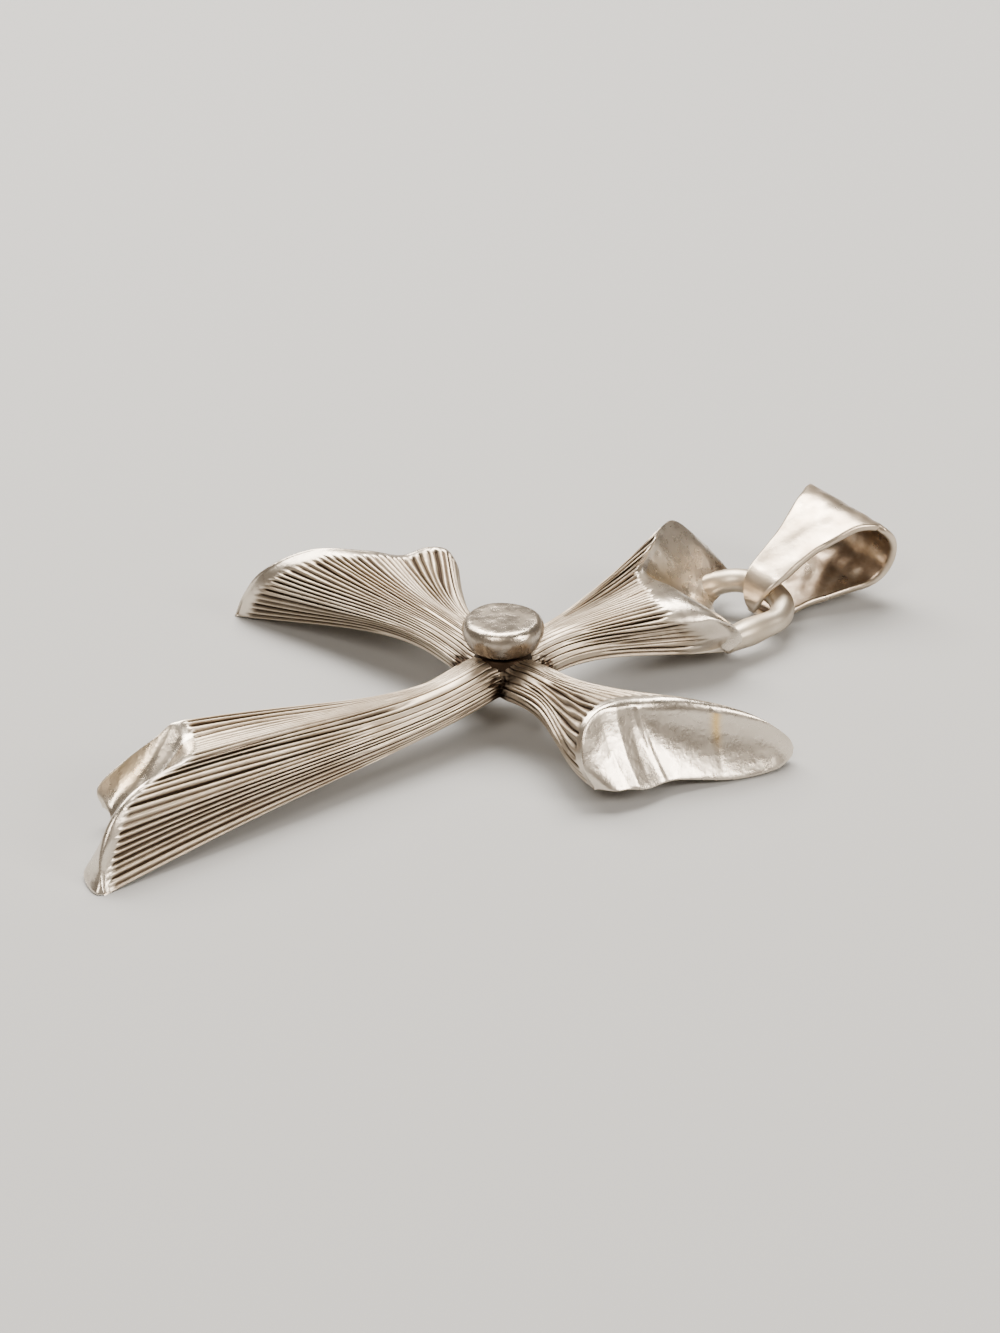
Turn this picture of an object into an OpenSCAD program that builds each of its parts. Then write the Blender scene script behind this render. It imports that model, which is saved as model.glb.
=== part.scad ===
// Silver cross pendant, lying face up on a flat surface.
// Four fluted fans of cast silver meet in a hub. A round stud is set in the hub, a loop of round
// wire is soldered to the two lobes of the top arm, and a folded leaf bail hangs on the loop.
// +X is the right arm, +Y the top arm and +Z up. The modules draw about the hub, and each piece is
// then moved so that the origin is on the surface under the middle of the whole pendant.

/* [Arms] */
// Reach of the right arm from the middle of the hub
right_reach = 14.9; // [13:0.1:18]
// Reach of the top arm
top_reach = 18.1; // [16:0.1:21]
// Reach of the left arm
left_reach = 18.5; // [15:0.1:22]
// Reach of the bottom arm
bottom_reach = 27.4; // [22:0.1:34]
// Width across the end of the right arm
right_fan = 12.4; // [10:0.1:14]
// Width across the end of the top arm
top_fan = 10; // [9:0.1:12]
// Width across the end of the left arm
left_fan = 9.8; // [8:0.1:12]
// Width across the end of the bottom arm
bottom_fan = 5.8; // [4.5:0.1:8]
// Height of the highest crest above the surface
fan_h = 5.2; // [4.6:0.1:6]
// Depth of the hollow in the polished ends
scoop = 0.35; // [0:0.05:0.6]

/* [Flutes] */
// Number of flutes on each arm
flutes = 28; // [24:4:40]
// Depth of a flute
flute_depth = 0.17; // [0.05:0.01:0.2]

/* [Hub] */
// Width across the hub, which is the width of each arm's neck
hub_w = 3.5; // [3.2:0.1:4.2]
// Height of the hub's underside in the middle of a neck
hub_low = 1.5; // [1.2:0.05:1.8]
// Height of the lower end of a corner between two arms
corner_low = 2.45; // [2.2:0.05:2.6]
// Height of the upper end of a corner between two arms
corner_high = 3; // [2.8:0.05:3.3]
// Height of the hub's top in the middle of a neck
hub_high = 3.95; // [3.7:0.05:4.1]

/* [Centre stud] */
// Diameter of the stud's head
stud_d = 4.55; // [4:0.05:5.2]
// Diameter of the flat on top of the head
stud_flat_d = 3.5; // [2.8:0.1:3.8]
// Height of the head
stud_head_h = 1.6; // [1.2:0.1:2.2]
// Diameter of the stud's foot
stud_foot_d = 2.7; // [2.2:0.1:3]
// Height of the foot, which is the open seam under the head
stud_foot_h = 0.3; // [0.15:0.05:0.5]
// Diameter of the hidden shank
shank_d = 1.2; // [0.8:0.1:1.4]
// Gap between the shank and its hole, on the radius
shank_gap = 0.08; // [0.05:0.01:0.15]
// Gap under the foot
foot_gap = 0.05; // [0.02:0.01:0.1]

/* [Loop] */
// Thickness of the loop's wire
wire_d = 1.4; // [1.1:0.05:1.6]
// Radius of the loop's bend, to the middle of the wire
loop_r = 2.35; // [2.2:0.05:2.6]
// Middle of the loop, to the right of the top arm's middle line
loop_x = 1.4; // [1:0.1:1.8]
// Height of the middle of the loop
loop_z = 1.85; // [1.7:0.05:2.1]
// Tilt of the loop, with its left leg higher
loop_tilt = 9; // [0:1:12]
// Bend of the loop's middle, short of the top arm's reach
loop_back = 1.3; // [0.8:0.1:1.8]

/* [Bail] */
// Thickness of the bail's sheet
sheet = 0.45; // [0.35:0.05:0.6]
// Gap between the wire and the bail
wire_gap = 0.5; // [0.4:0.05:0.6]
// Width of the bail at its fold
bail_w = 6.8; // [5.6:0.1:7.4]
// Length of the bail from the wire's middle to its fold's middle
bail_run = 5; // [4.6:0.05:6.4]
// Height of the bail at its fold
bail_h = 4.7; // [4.2:0.1:5.4]
// Height of the fold's middle above the middle of the wire
bail_rise = 1.45; // [1:0.05:1.8]
// Turn of the bail to the left, seen from above
bail_turn = 5; // [0:1:8]

/* [Hidden] */
$fn = 64;

// Columns of a row in an end table. Each row is one straight line across the polished end of an arm,
// from the fluted upper rim to the lower rim. "around" is the share of the flutes that lies before
// it, counted from the side with the high lobe. Across is a share of the arm's fan width, reach a
// share of the arm's reach, and height a share of fan_h.
//   around, upper across, upper reach, upper height, lower across, lower reach, lower height
RIGHT_END = [
    [0.00, -0.23, 0.73, 0.22, -0.23, 0.73, 0.22],
    [0.12, -0.27, 0.70, 0.50, -0.17, 0.79, 0.21],
    [0.25, -0.22, 0.66, 0.83, -0.10, 0.81, 0.19],
    [0.36, -0.10, 0.64, 0.96, -0.02, 0.83, 0.15],
    [0.48,  0.07, 0.67, 0.94,  0.13, 0.84, 0.13],
    [0.63,  0.31, 0.79, 0.87,  0.38, 0.92, 0.02],
    [0.78,  0.52, 0.89, 0.67,  0.57, 0.965, 0.02],
    [0.90,  0.65, 0.95, 0.385,  0.68, 0.95, 0.05],
    [1.00,  0.715, 0.93, 0.13,  0.715, 0.93, 0.13],
];
TOP_END = [
    [0.00, -0.43, 0.72, 0.23, -0.43, 0.72, 0.23],
    [0.10, -0.50, 0.76, 0.44, -0.39, 0.775, 0.19],
    [0.22, -0.51, 0.69, 0.77, -0.29, 0.815, 0.17],
    [0.36, -0.29, 0.625, 0.96, -0.175, 0.845, 0.17],
    [0.48, -0.05, 0.645, 0.885, -0.045, 0.88, 0.17],
    [0.62,  0.25, 0.70, 0.73,  0.09, 0.935, 0.17],
    [0.74,  0.36, 0.815, 0.90,  0.14, 0.995, 0.19],
    [0.88,  0.44, 0.92, 0.99,  0.20, 1.065, 0.29],
    [1.00,  0.36, 1.035, 0.58,  0.36, 1.035, 0.58],
];
LEFT_END = [
    [0.00, -0.47, 0.595, 0.31, -0.47, 0.595, 0.31],
    [0.12, -0.51, 0.535, 0.62, -0.45, 0.64, 0.29],
    [0.24, -0.46, 0.55, 0.94, -0.40, 0.68, 0.27],
    [0.34, -0.38, 0.605, 0.96, -0.31, 0.735, 0.23],
    [0.44, -0.27, 0.665, 0.85, -0.22, 0.77, 0.21],
    [0.54, -0.09, 0.715, 0.96, -0.06, 0.83, 0.17],
    [0.68,  0.145, 0.845, 0.94,  0.16, 0.95, 0.12],
    [0.83,  0.37, 0.94, 0.68,  0.33, 1.01, 0.03],
    [0.93,  0.45, 0.985, 0.35,  0.42, 1.02, 0.00],
    [1.00,  0.455, 1.03, 0.00,  0.455, 1.03, 0.00],
];
BOTTOM_END = [
    [0.00, -0.755, 0.86, 0.20, -0.755, 0.86, 0.20],
    [0.10, -0.80, 0.865, 0.43, -0.65, 0.86, 0.17],
    [0.20, -0.785, 0.805, 0.62, -0.58, 0.87, 0.135],
    [0.29, -0.735, 0.735, 0.79, -0.50, 0.885, 0.115],
    [0.37, -0.70, 0.695, 0.90, -0.435, 0.90, 0.095],
    [0.45, -0.49, 0.70, 0.79, -0.37, 0.915, 0.095],
    [0.54, -0.12, 0.77, 0.90, -0.32, 0.94, 0.08],
    [0.70, -0.04, 0.895, 0.83, -0.22, 0.97, 0.055],
    [0.78,  0.04, 0.95, 0.70, -0.14, 0.995, 0.03],
    [0.86,  0.11, 0.98, 0.48,  0.01, 1.01, 0.00],
    [0.94,  0.14, 0.99, 0.22,  0.19, 1.015, 0.00],
    [1.00,  0.24, 1.00, 0.00,  0.24, 1.00, 0.00],
];

// Columns of an arm: its turn about the hub, reach, fan width, the shares of its length where the
// flare of its high side starts and is full, the same for its low side, the same for the change of
// height, how far it sags near the hub as a share of fan_h, and its end table.
TURN = 0;
REACH = 1;
FAN = 2;
HIGH_FLARE = 3;
LOW_FLARE = 4;
RISE = 5;
SAG = 6;
END = 7;
ARMS = [
    [0, right_reach, right_fan, [0.3, 0.9], [0.1, 1.5], [0.2, 1.2], -0.04, RIGHT_END],
    [90, top_reach, top_fan, [0.05, 1.5], [0.05, 1.5], [0, 1.5], -0.04, TOP_END],
    [180, left_reach, left_fan, [0.15, 1.6], [0.15, 1.6], [0.1, 1.6], -0.06, LEFT_END],
    [270, bottom_reach, bottom_fan, [0.05, 1.6], [0.05, 1.6], [0, 1.5], 0.1, BOTTOM_END],
];

// Steps of the mesh: fibres over the fluted side, fibres on each corner of the hub, fibres under
// the arm, and rings along it
fibres = 2 * flutes;
corner_fibres = 6;
under_fibres = (fibres - 2 * corner_fibres) / 4;
rings = 14;
loop_points = fibres + under_fibres;

neck = hub_w / 2;
seat_z = hub_high + 0.1;
seat_r = stud_foot_d / 2;
hole_r = shank_d / 2 + shank_gap;
loop_y = top_reach - loop_back;
bail_in = wire_d / 2 + wire_gap;

function smooth(x) = let (c = min(1, max(0, x))) c * c * (3 - 2 * c);

// Share of a change that is done at t, between its start and the place where it is full
function done(t, span) =
    smooth((t - span[0]) / (span[1] - span[0])) / smooth((1 - span[0]) / (span[1] - span[0]));

// Slope of all columns at row k of a table whose first column is the place
function slope(rows, k) =
    let (a = rows[max(0, k - 1)], b = rows[min(len(rows) - 1, k + 1)]) (b - a) / (b[0] - a[0]);

// Smooth curve through the rows of a table, at place f
function row_at(rows, f) =
    let (
        k = max([for (i = [0 : len(rows) - 2]) if (rows[i][0] <= f) i]),
        h = rows[k + 1][0] - rows[k][0],
        t = (f - rows[k][0]) / h
    )
    (2 * pow(t, 3) - 3 * t * t + 1) * rows[k]
        + (pow(t, 3) - 2 * t * t + t) * h * slope(rows, k)
        + (3 * t * t - 2 * pow(t, 3)) * rows[k + 1]
        + (pow(t, 3) - t * t) * h * slope(rows, k + 1);

// Points on an arm are [across, reach, height] until they are turned into place
function upper_end(arm, f) =
    let (r = row_at(arm[END], f)) [r[1] * arm[FAN], r[2] * arm[REACH], max(0, r[3]) * fan_h];
function lower_end(arm, f) =
    let (r = row_at(arm[END], f)) [r[4] * arm[FAN], r[5] * arm[REACH], max(0, r[6]) * fan_h];

// Upper side of a neck at fibre i: up one corner, over the crown and down the other corner
function upper_neck(i) =
    let (
        up = min(i, fibres - i, corner_fibres) / corner_fibres,
        over = min(1, max(0, (i - corner_fibres) / (fibres - 2 * corner_fibres)))
    )
    [
        neck * (2 * over - 1),
        neck,
        corner_low + (corner_high - corner_low) * up + (hub_high - corner_high) * sin(180 * over)
    ];
function lower_neck(f) = [neck * (2 * f - 1), neck, corner_low - (corner_low - hub_low) * sin(180 * f)];

// Point at share t of the way from a neck to an end, on the fibre at place f
function along(arm, f, from, to, t) =
    let (
        span = arm[HIGH_FLARE] * (1 - f) + arm[LOW_FLARE] * f,
        flare = done(t, span),
        rise = done(t, arm[RISE]),
        sag = arm[SAG] * fan_h * 9.48 * t * pow(1 - t, 3)
    )
    [
        from[0] + (to[0] - from[0]) * flare,
        from[1] + (to[1] - from[1]) * t,
        from[2] + (to[2] - from[2]) * rise - sag
    ];
function upper_point(arm, i, t) =
    let (f = i / fibres) along(arm, f, upper_neck(i), upper_end(arm, f), t);
function lower_point(arm, f, t) = along(arm, f, lower_neck(f), lower_end(arm, f), t);

function unit(v) = v / max(norm(v), 0.000001);

// Every second fibre is raised along the surface's normal, less at the arm's ends and edges. The
// flutes are the hollows between the raised ones.
function fluted_point(arm, i, t) =
    i % 2 == 0
        ? upper_point(arm, i, t)
        : let (
            before = upper_point(arm, i - 1, t),
            after = upper_point(arm, i + 1, t),
            ahead = upper_point(arm, i, t + 0.01) - upper_point(arm, i, t - 0.01),
            fade = min(1, t / 0.08, (1 - t) / 0.1, i / 6, (fibres - i) / 6),
            depth = min(flute_depth, 0.3 * norm(after - before)) * fade
        )
        upper_point(arm, i, t) + depth * unit(cross(after - before, ahead));

function turned(arm, p) = [
    p[1] * cos(arm[TURN]) - p[0] * sin(arm[TURN]),
    p[1] * sin(arm[TURN]) + p[0] * cos(arm[TURN]),
    p[2]
];

// Rings of an arm, then the row of points that hollows its polished end
function arm_points(arm) = [
    for (j = [0 : rings])
        let (t = j / rings)
        each [
            for (i = [0 : fibres]) turned(arm, fluted_point(arm, i, t)),
            for (k = [under_fibres - 1 : -1 : 1]) turned(arm, lower_point(arm, k / under_fibres, t))
        ],
    for (k = [1 : under_fibres - 1])
        let (f = k / under_fibres, middle = (upper_end(arm, f) + lower_end(arm, f)) / 2)
        turned(arm, middle - [0, scoop * sin(180 * f), 0])
];
arm_size = (rings + 1) * loop_points + under_fibres - 1;

// Names of points by number
function ring_point(base, j, i) = base + j * loop_points + i % loop_points;
function under_point(base, j, k) =
    ring_point(base, j, k == 0 ? 0 : k == under_fibres ? fibres : loop_points - k);
function hollow_point(base, k) =
    k == 0 || k == under_fibres
        ? under_point(base, rings, k)
        : base + (rings + 1) * loop_points + k - 1;

// Strip of triangles between a fine row a of m steps and a coarse row b of n steps
function strip(a, m, b, n) = [
    for (i = [0 : m - 1]) [a[i], a[i + 1], b[floor((i + 0.5) * n / m + 0.5)]],
    for (j = [0 : n - 1]) [b[j], a[ceil((j + 0.5) * m / n - 0.5)], b[j + 1]]
];
function flipped(faces) = [for (f = faces) [f[1], f[0], f[2]]];
function real_faces(faces) = [for (f = faces) if (f[0] != f[1] && f[1] != f[2] && f[0] != f[2]) f];

function arm_faces(base) = [
    for (j = [0 : rings - 1])
        for (i = [0 : loop_points - 1])
            let (
                a = ring_point(base, j, i),
                b = ring_point(base, j, i + 1),
                c = ring_point(base, j + 1, i + 1),
                d = ring_point(base, j + 1, i)
            )
            each [[a, b, c], [a, c, d]],
    each real_faces(concat(
        strip(
            [for (i = [0 : fibres]) ring_point(base, rings, i)], fibres,
            [for (k = [0 : under_fibres]) hollow_point(base, k)], under_fibres
        ),
        strip(
            [for (k = [0 : under_fibres]) hollow_point(base, k)], under_fibres,
            [for (k = [0 : under_fibres]) under_point(base, rings, k)], under_fibres
        )
    ))
];

// The hub's top and underside close the four necks around the hole for the stud's shank
hub_steps = 4 * under_fibres;
function circle_points(r, z) = [
    for (s = [0 : hub_steps - 1])
        let (a = 360 * s / hub_steps - 45) [r * cos(a), r * sin(a), z]
];
hub_base = len(ARMS) * arm_size;
function hub_ring(n, s) = hub_base + n * hub_steps + s % hub_steps;
top_edge = [
    for (m = [0 : len(ARMS) - 1])
        for (i = [corner_fibres : fibres - corner_fibres - 1]) ring_point(m * arm_size, 0, i)
];
under_edge = [
    for (m = [0 : len(ARMS) - 1]) for (k = [0 : under_fibres - 1]) under_point(m * arm_size, 0, k)
];
function closed(row) = concat(row, [row[0]]);
function hub_row(n) = [for (s = [0 : hub_steps]) hub_ring(n, s)];
hub_faces = concat(
    flipped(strip(closed(top_edge), len(top_edge), hub_row(0), hub_steps)),
    flipped(strip(hub_row(0), hub_steps, hub_row(1), hub_steps)),
    flipped(strip(hub_row(1), hub_steps, hub_row(2), hub_steps)),
    flipped(strip(hub_row(2), hub_steps, closed(under_edge), hub_steps))
);

module arms() {
    polyhedron(
        points = concat(
            [for (arm = ARMS) each arm_points(arm)],
            circle_points(seat_r, seat_z),
            circle_points(hole_r, seat_z),
            circle_points(hole_r, hub_low)
        ),
        faces = concat([for (m = [0 : len(ARMS) - 1]) each arm_faces(m * arm_size)], hub_faces),
        convexity = 10
    );
}

// U of round wire. Its legs run back into the two lobes of the top arm, the left one half as far.
bend_steps = 16;
leg = 0.2 * top_reach;
wire_path = concat(
    [[loop_r, -leg, 0]],
    [for (s = [0 : bend_steps]) let (a = 180 * s / bend_steps) [loop_r * cos(a), loop_r * sin(a), a]],
    [[-loop_r, -leg / 2, 180]]
);

module wire_disc(p) {
    translate([p[0], p[1]]) rotate([90, 0, p[2]]) cylinder(d = wire_d, h = 0.3, center = true, $fn = 20);
}
module wire_loop() {
    translate([loop_x, loop_y, loop_z]) rotate([0, loop_tilt, 0])
        for (s = [1 : len(wire_path) - 1]) hull() {
            wire_disc(wire_path[s - 1]);
            wire_disc(wire_path[s]);
        }
}

module cross() {
    color("silver") union() {
        arms();
        wire_loop();
    }
}

// Turned button with a flat top, a round shoulder and a short foot, on its hidden shank
module centre_stud() {
    foot_z = seat_z + foot_gap;
    head_z = foot_z + stud_foot_h;
    edge = (stud_d - stud_flat_d) / 2;
    belly_z = head_z + stud_head_h - edge;
    color("gainsboro") rotate_extrude() polygon([
        [0, hub_low],
        [shank_d / 2, hub_low],
        [shank_d / 2, foot_z],
        [seat_r, foot_z],
        [seat_r, head_z],
        [stud_d / 2 - edge / 2, head_z],
        [stud_d / 2 - edge / 8, head_z + edge / 4],
        for (a = [0 : 15 : 90]) [stud_flat_d / 2 + edge * cos(a), belly_z + edge * sin(a)],
        [0, head_z + stud_head_h]
    ]);
}

// Side view of the bail: round the wire at one end and round the fold at the other, with straight
// flanks that touch both
module bail_side(inset) {
    small = bail_in + sheet - inset;
    big = bail_h / 2 - inset;
    lean = atan2(bail_rise, bail_run);
    touch = 90 - asin((big - small) / norm([bail_run, bail_rise]));
    arc_steps = 20;
    polygon(concat(
        [
            for (s = [0 : arc_steps])
                let (a = lean + 180 - touch + 2 * touch * s / arc_steps)
                small * [cos(a), sin(a)]
        ],
        [
            for (s = [0 : arc_steps])
                let (a = lean + 180 + touch + 2 * (180 - touch) * s / arc_steps)
                [bail_run, bail_rise] + big * [cos(a), sin(a)]
        ]
    ));
}

// Outline of the leaf from above. Columns: share of the length from the narrow end, share of half
// the width.
LEAF = [
    [0.00, 0.10],
    [0.03, 0.18],
    [0.08, 0.24],
    [0.17, 0.31],
    [0.30, 0.37],
    [0.42, 0.44],
    [0.56, 0.565],
    [0.70, 0.68],
    [0.85, 0.85],
    [1.00, 1.00],
];
module bail_plan() {
    back = bail_in + sheet + 0.05;
    long = back + bail_run + bail_h / 2;
    steps = 24;
    edge = [for (s = [0 : steps]) row_at(LEAF, min(0.9999, pow(s / steps, 2)))];
    polygon(concat(
        [for (e = edge) [e[1] * bail_w / 2, e[0] * long - back]],
        [for (s = [steps : -1 : 0]) [-edge[s][1] * bail_w / 2, edge[s][0] * long - back]]
    ));
}

module bail() {
    color("lightgray")
        translate([loop_x, loop_y, loop_z])
            rotate([0, loop_tilt, 0]) rotate([0, 0, bail_turn]) translate([0, loop_r, 0])
            intersection() {
                translate([-bail_w, 0, 0]) rotate([90, 0, 90])
                    linear_extrude(2 * bail_w) difference() {
                        bail_side(0);
                        bail_side(sheet);
                    }
                translate([0, 0, -bail_h]) linear_extrude(2 * bail_h) bail_plan();
            }
}

// Middle of the whole pendant, between the ends of its arms and the far corner of its bail
ends = [for (arm = ARMS) each arm_points(arm)];
xs = [for (p = ends) p[0]];
ys = [for (p = ends) p[1]];
bail_end = (loop_r + bail_run + bail_h / 2) * cos(bail_turn) + bail_w / 2 * sin(bail_turn);
middle = [(min(xs) + max(xs)) / 2, (min(ys) + loop_y + bail_end) / 2];
module placed() {
    translate([-middle[0], -middle[1], 0]) children();
}

placed() cross();
placed() centre_stud();
placed() bail();
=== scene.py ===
import bmesh
import bpy
import numpy as np
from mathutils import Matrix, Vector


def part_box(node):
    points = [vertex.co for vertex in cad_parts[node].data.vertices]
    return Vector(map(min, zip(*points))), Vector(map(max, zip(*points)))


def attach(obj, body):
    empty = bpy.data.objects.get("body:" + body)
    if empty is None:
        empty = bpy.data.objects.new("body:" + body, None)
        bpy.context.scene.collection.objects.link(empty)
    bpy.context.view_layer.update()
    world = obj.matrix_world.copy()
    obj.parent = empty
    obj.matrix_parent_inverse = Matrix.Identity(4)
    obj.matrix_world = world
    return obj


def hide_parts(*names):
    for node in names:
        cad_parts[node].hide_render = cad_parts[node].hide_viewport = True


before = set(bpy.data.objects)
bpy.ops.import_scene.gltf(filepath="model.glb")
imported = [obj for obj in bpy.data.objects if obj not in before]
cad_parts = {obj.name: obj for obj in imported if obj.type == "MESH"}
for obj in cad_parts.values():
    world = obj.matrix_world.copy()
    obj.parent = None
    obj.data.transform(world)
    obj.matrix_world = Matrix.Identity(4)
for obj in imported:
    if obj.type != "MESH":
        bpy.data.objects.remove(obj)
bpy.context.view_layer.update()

# The view. The photograph looks down at 28.5 degrees from between the right and the bottom arm,
# from about 19 cm. Shapes below are in millimetres from the middle of the hub, which the packed
# stud shows, and are moved to the frame as they become meshes.
MM = 0.001
stud_low, stud_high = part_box("centre_stud")
HUB_X = (stud_low[0] + stud_high[0]) / 2
HUB_Y = (stud_low[1] + stud_high[1]) / 2
VIEW_TURN = 50
VIEW_TILT = 28.5
VIEW_DISTANCE = 190
VIEW_TARGET = (-4.333, 3.423, 0)
FOCAL_PIXELS = 3350
LONG_SIDE_PIXELS = 1333
SENSOR = 36
NEAREST = 10


def from_direction(turn, tilt, distance):
    """Offset in millimetres of a point seen from the target. Turn 0 is at -Y and 90 at +X, and the
    tilt lifts the point, so its flat distance is the cosine and its height the sine of the tilt."""
    turn, tilt = np.radians([turn, tilt])
    flat = distance * np.cos(tilt)
    return np.array([flat * np.sin(turn), -flat * np.cos(turn), distance * np.sin(tilt)])


def placed(points):
    """Points in millimetres about the hub, as metres in the frame."""
    return np.asarray(points, float) * MM + np.array([HUB_X, HUB_Y, 0])


camera = bpy.data.objects.new("camera", bpy.data.cameras.new("camera"))
bpy.context.scene.collection.objects.link(camera)
camera.location = placed(np.array(VIEW_TARGET) + from_direction(VIEW_TURN, VIEW_TILT, VIEW_DISTANCE))
camera.rotation_euler = np.radians([90 - VIEW_TILT, 0, VIEW_TURN])
camera.data.sensor_width = SENSOR
camera.data.lens = FOCAL_PIXELS / LONG_SIDE_PIXELS * SENSOR
camera.data.clip_start = NEAREST * MM
bpy.context.scene.camera = camera

# The floor. A plain sheet of pale matte card, which reaches far past the picture on every side.
# The card is uncoated paper board, so it gives the eye a soft shadow and no shine.
CARD_COLOUR = "#A0A1A2"
CARD_ROUGHNESS = 0.9
FLOOR_HALF = 1200
# Points of a mesh that are closer than this, in millimetres, become one
MERGE = 0.0005


def colour(code, alpha=1.0):
    """A hex colour in sRGB, turned to linear: a straight line in the darkest part and a power of
    2.4 above it."""
    value = np.array([int(code[k:k + 2], 16) for k in (1, 3, 5)]) / 255
    linear = np.where(value <= 0.04045, value / 12.92, ((value + 0.055) / 1.055) ** 2.4)
    return (*linear, alpha)


def feed(material, made, values):
    """Sets a node's inputs by name or number, each to a value or by a link."""
    for name, value in values.items():
        if isinstance(value, bpy.types.NodeSocket):
            material.node_tree.links.new(value, made.inputs[name])
        else:
            made.inputs[name].default_value = value


def node(material, kind, values=None, **settings):
    """Adds a node. Settings are its properties; values are what its inputs are fed."""
    made = material.node_tree.nodes.new(kind)
    for name, value in settings.items():
        setattr(made, name, value)
    feed(material, made, values or {})
    return made


def new_material(name):
    """An empty node material with its shader joined to the output."""
    material = bpy.data.materials.new(name)
    material.use_nodes = True
    material.node_tree.nodes.clear()
    shader = node(material, "ShaderNodeBsdfPrincipled")
    node(material, "ShaderNodeOutputMaterial", {"Surface": shader.outputs["BSDF"]})
    return material, shader


def mesh_object(name, points, faces, attributes=None):
    """An object from points in millimetres and faces, smooth, with named values at its points."""
    mesh = bpy.data.meshes.new(name)
    mesh.from_pydata(placed(points).tolist(), [], faces)
    for key, values in (attributes or {}).items():
        layer = mesh.attributes.new(key, "FLOAT", "POINT")
        layer.data.foreach_set("value", np.ravel(values).astype(np.float32))
    made = bpy.data.objects.new(name, mesh)
    bpy.context.scene.collection.objects.link(made)
    shell = bmesh.new()
    shell.from_mesh(mesh)
    bmesh.ops.remove_doubles(shell, verts=shell.verts, dist=MERGE * MM)
    bmesh.ops.recalc_face_normals(shell, faces=shell.faces)
    shell.to_mesh(mesh)
    shell.free()
    mesh.polygons.foreach_set("use_smooth", np.ones(len(mesh.polygons), bool))
    return made


def surface(name, points, wrap_across=False, wrap_along=False, attributes=None):
    """A mesh from a grid of points in millimetres, rows by columns, with its doubles merged.
    Faces join each point to the next one of its row and of its column."""
    rows, columns = points.shape[:2]
    number = np.arange(rows * columns).reshape(rows, columns)
    if wrap_across:
        number = np.concatenate([number, number[:, :1]], axis=1)
    if wrap_along:
        number = np.concatenate([number, number[:1]], axis=0)
    corners = np.stack([number[:-1, :-1], number[:-1, 1:], number[1:, 1:], number[1:, :-1]], axis=-1)
    return mesh_object(name, points.reshape(-1, 3), corners.reshape(-1, 4).tolist(), attributes)


side = np.linspace(-FLOOR_HALF, FLOOR_HALF, 3)
floor_x, floor_y = np.meshgrid(side, side)
floor = surface("floor", np.stack([floor_x, floor_y, 0 * floor_x], axis=-1))
card, shader = new_material("matte card")
feed(card, shader, {"Base Color": colour(CARD_COLOUR), "Roughness": CARD_ROUGHNESS})
floor.data.materials.append(card)

# The arms. Each is cast silver: a fan of fine flutes that starts at a narrow neck on the hub, swells
# into two lobes and ends in a polished hollow face, cut back so that the lobes stand forward. The
# four were carved one by one, so each end has its own table, with the columns below in it.
#   around: share of the flutes before this line across the end, from the side with the high lobe
#   upper across, reach and height, then lower across, reach and height, as shares of the arm's
#   fan width, its reach and the height of the highest crest
# Height of the highest crest, in millimetres
CREST = 5.2
RIGHT_END = [
    [0.00, -0.23, 0.73, 0.22, -0.23, 0.73, 0.22],
    [0.12, -0.27, 0.70, 0.50, -0.17, 0.79, 0.21],
    [0.25, -0.22, 0.66, 0.83, -0.10, 0.81, 0.19],
    [0.36, -0.10, 0.64, 0.96, -0.02, 0.83, 0.15],
    [0.48, 0.07, 0.67, 0.94, 0.13, 0.84, 0.13],
    [0.63, 0.31, 0.79, 0.87, 0.38, 0.92, 0.02],
    [0.78, 0.52, 0.89, 0.67, 0.57, 0.965, 0.02],
    [0.90, 0.65, 0.95, 0.385, 0.68, 0.95, 0.05],
    [1.00, 0.715, 0.93, 0.13, 0.715, 0.93, 0.13],
]
TOP_END = [
    [0.00, -0.43, 0.72, 0.23, -0.43, 0.72, 0.23],
    [0.10, -0.50, 0.76, 0.44, -0.39, 0.775, 0.19],
    [0.22, -0.51, 0.69, 0.77, -0.29, 0.815, 0.17],
    [0.36, -0.29, 0.625, 0.96, -0.175, 0.845, 0.17],
    [0.48, -0.05, 0.645, 0.885, -0.045, 0.88, 0.17],
    [0.62, 0.25, 0.70, 0.73, 0.09, 0.935, 0.17],
    [0.74, 0.36, 0.815, 0.90, 0.14, 0.995, 0.19],
    [0.88, 0.44, 0.92, 0.99, 0.20, 1.065, 0.29],
    [1.00, 0.36, 1.035, 0.58, 0.36, 1.035, 0.58],
]
LEFT_END = [
    [0.00, -0.47, 0.595, 0.31, -0.47, 0.595, 0.31],
    [0.12, -0.51, 0.535, 0.62, -0.45, 0.64, 0.29],
    [0.24, -0.46, 0.55, 0.94, -0.40, 0.68, 0.27],
    [0.34, -0.38, 0.605, 0.96, -0.31, 0.735, 0.23],
    [0.44, -0.27, 0.665, 0.85, -0.22, 0.77, 0.21],
    [0.54, -0.09, 0.715, 0.96, -0.06, 0.83, 0.17],
    [0.68, 0.145, 0.845, 0.94, 0.16, 0.95, 0.12],
    [0.83, 0.37, 0.94, 0.68, 0.33, 1.01, 0.03],
    [0.93, 0.45, 0.985, 0.35, 0.42, 1.02, 0.00],
    [1.00, 0.455, 1.03, 0.00, 0.455, 1.03, 0.00],
]
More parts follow.
